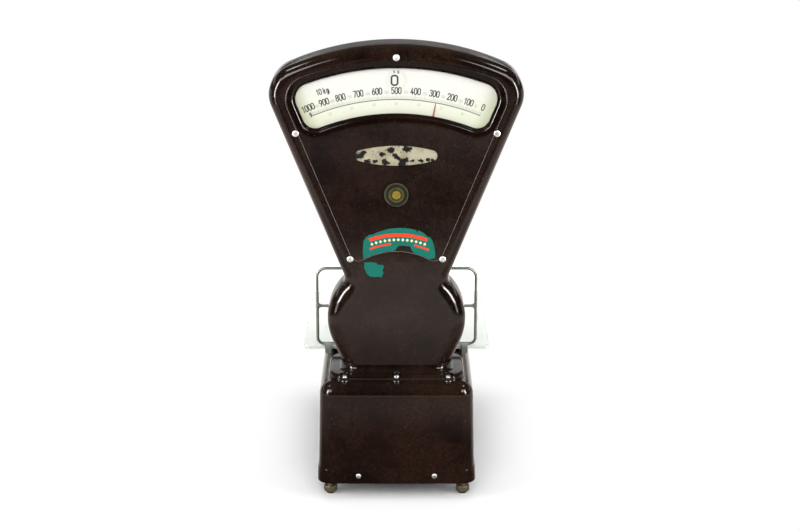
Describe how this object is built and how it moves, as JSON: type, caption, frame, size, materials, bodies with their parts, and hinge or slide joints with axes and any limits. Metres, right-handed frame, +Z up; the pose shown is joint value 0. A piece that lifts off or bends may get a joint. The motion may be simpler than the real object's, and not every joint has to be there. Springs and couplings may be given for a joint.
{
  "type": "counter scale",
  "caption": "Two-sided fan-head counter scale: bakelite head on a long base, glass goods plate with wire guard, pendulum and lever mechanism.",
  "frame": {"origin": "middle of the whole scale's bounding box, at the ground under its feet", "axes": "+Z up, +Y from the customer's side towards the goods plate, +X to the right of the customer's dial"},
  "size_m": [0.3904, 0.4518, 0.7253],
  "materials": {
    "bakelite": "polished dark brown phenolic, softly worn",
    "knob": "black phenolic",
    "grey_iron": "cast, grey paint",
    "clear_glass": "clear flat glass",
    "opal_glass": "milky opal glass, polished",
    "cream_enamel": "aged cream enamel",
    "name_enamel": "worn cream paint",
    "badge_enamel": "olive rim, dark green ring, dull gold middle",
    "bright_screw": "nickel plated",
    "wire_steel": "dull zinc-plated wire",
    "rubber": "matte",
    "steel": "machined",
    "brass": "turned",
    "red_needle": "red-brown paint",
    "worn_brass": "tarnished, knurled",
    "level_glass": "yellow-green spirit in a brass cup"
  },
  "bodies": {
    "housing": {"base_casing": "bakelite", "base_frame": "grey_iron", "head_front_shell": "bakelite", "head_rear_shell": "bakelite", "front_cover": "bakelite", "rear_cover": "bakelite", "front_glass": "clear_glass", "rear_glass": "clear_glass", "front_dial": "cream_enamel", "rear_dial": "cream_enamel", "name_plate": "name_enamel", "badge": "badge_enamel", "cover_screws": "bright_screw", "flange_screws": "bright_screw", "plinth_screws": "bright_screw", "fulcrum_stand": "grey_iron", "fulcrum_bearings": "steel", "stay_pin": "steel", "mechanism_frame": "steel", "shaft_bearings": "brass", "disc_mast": "steel", "damper_cylinder": "brass", "detent_spring": "steel", "number_chain": "steel", "cam_chain": "steel", "cam_brackets": "grey_iron", "weight_lifter": "grey_iron", "kilogram_weights": "grey_iron", "spirit_level": "level_glass"},
    "pan_carrier": {"plate_carrier": "grey_iron", "plate_buffers": "rubber", "guard_frame": "wire_steel", "guard_brackets": "wire_steel", "carrier_column": "steel", "load_bearings": "steel"},
    "goods_plate": {"goods_plate": "opal_glass"},
    "main_lever": {"main_lever": "grey_iron", "fulcrum_knives": "steel", "load_knives": "steel", "power_knife": "steel", "zero_poise": "brass"},
    "stay_link": {"stay_link": "grey_iron"},
    "connecting_rod": {"connecting_rod": "steel"},
    "pointer": {"pointer_shaft": "steel", "pendulum": "steel", "pendulum_bob": "brass", "pointer_front": "red_needle", "pointer_rear": "red_needle"},
    "damper_piston": {"damper_piston": "steel"},
    "kg_selector": {"kg_knob": "knob", "kg_shaft": "steel", "detent_wheel": "steel"},
    "number_discs": {"number_axle": "steel", "number_discs": "cream_enamel"},
    "camshaft": {"camshaft": "steel"},
    "foot_front_left": {"foot_front_left": "worn_brass"},
    "foot_front_right": {"foot_front_right": "worn_brass"},
    "foot_rear_left": {"foot_rear_left": "worn_brass"},
    "foot_rear_right": {"foot_rear_right": "worn_brass"}
  },
  "joints": [
    {"name": "pan_travel", "type": "slide", "parent": "housing", "child": "pan_carrier", "axis": [0, 0, 1], "range_m": [-0.00455, 0.00168], "stiffness_N_per_m": 1572, "springref_m": 0.0145},
    {"name": "plate_lift", "type": "slide", "parent": "pan_carrier", "child": "goods_plate", "axis": [0, 0, 1], "range_m": [0, 0.05]},
    {"name": "lever_tilt", "type": "hinge", "parent": "housing", "child": "main_lever", "pos_m": [0, 0.02885, 0.134], "axis": [1, 0, 0], "range_deg": [-5.55, 2.05]},
    {"name": "stay_tilt", "type": "hinge", "parent": "housing", "child": "stay_link", "pos_m": [0, 0.02885, 0.06], "axis": [1, 0, 0], "range_deg": [-5.55, 2.05]},
    {"name": "rod_travel", "type": "slide", "parent": "housing", "child": "connecting_rod", "axis": [0, 0, 1], "range_m": [-0.0059, 0.0159]},
    {"name": "pointer_swing", "type": "hinge", "parent": "housing", "child": "pointer", "pos_m": [0, -0.14115, 0.303], "axis": [0, 1, 0], "range_deg": [-32.5, 12]},
    {"name": "damper_travel", "type": "slide", "parent": "housing", "child": "damper_piston", "axis": [0, 0, 1], "range_m": [-0.0029, 0.0078]},
    {"name": "kg_turn", "type": "hinge", "parent": "housing", "child": "kg_selector", "pos_m": [-0.038, 0, 0.238], "axis": [0, 1, 0], "range_deg": [0, 324]},
    {"name": "number_turn", "type": "hinge", "parent": "housing", "child": "number_discs", "pos_m": [-0.038, 0, 0.64], "axis": [0, 1, 0], "range_deg": [0, 324]},
    {"name": "cam_turn", "type": "hinge", "parent": "housing", "child": "camshaft", "pos_m": [-0.08, 0, 0.06], "axis": [0, 1, 0], "range_deg": [0, 324]},
    {"name": "foot_front_left_screw", "type": "slide", "parent": "housing", "child": "foot_front_left", "axis": [0, 0, 1], "range_m": [-0.004, 0.004]},
    {"name": "foot_front_right_screw", "type": "slide", "parent": "housing", "child": "foot_front_right", "axis": [0, 0, 1], "range_m": [-0.004, 0.004]},
    {"name": "foot_rear_left_screw", "type": "slide", "parent": "housing", "child": "foot_rear_left", "axis": [0, 0, 1], "range_m": [-0.004, 0.004]},
    {"name": "foot_rear_right_screw", "type": "slide", "parent": "housing", "child": "foot_rear_right", "axis": [0, 0, 1], "range_m": [-0.004, 0.004]}
  ],
  "couplings": [
    {"joint": "lever_tilt", "follows": "pan_travel", "rad_per_m": 21.277},
    {"joint": "stay_tilt", "follows": "pan_travel", "rad_per_m": 21.277},
    {"joint": "rod_travel", "follows": "pan_travel", "ratio": -3.4894},
    {"joint": "pointer_swing", "follows": "pan_travel", "rad_per_m": 124.62},
    {"joint": "damper_travel", "follows": "pan_travel", "ratio": -1.7021},
    {"joint": "number_turn", "follows": "kg_turn", "ratio": 1},
    {"joint": "cam_turn", "follows": "kg_turn", "ratio": 1}
  ]
}
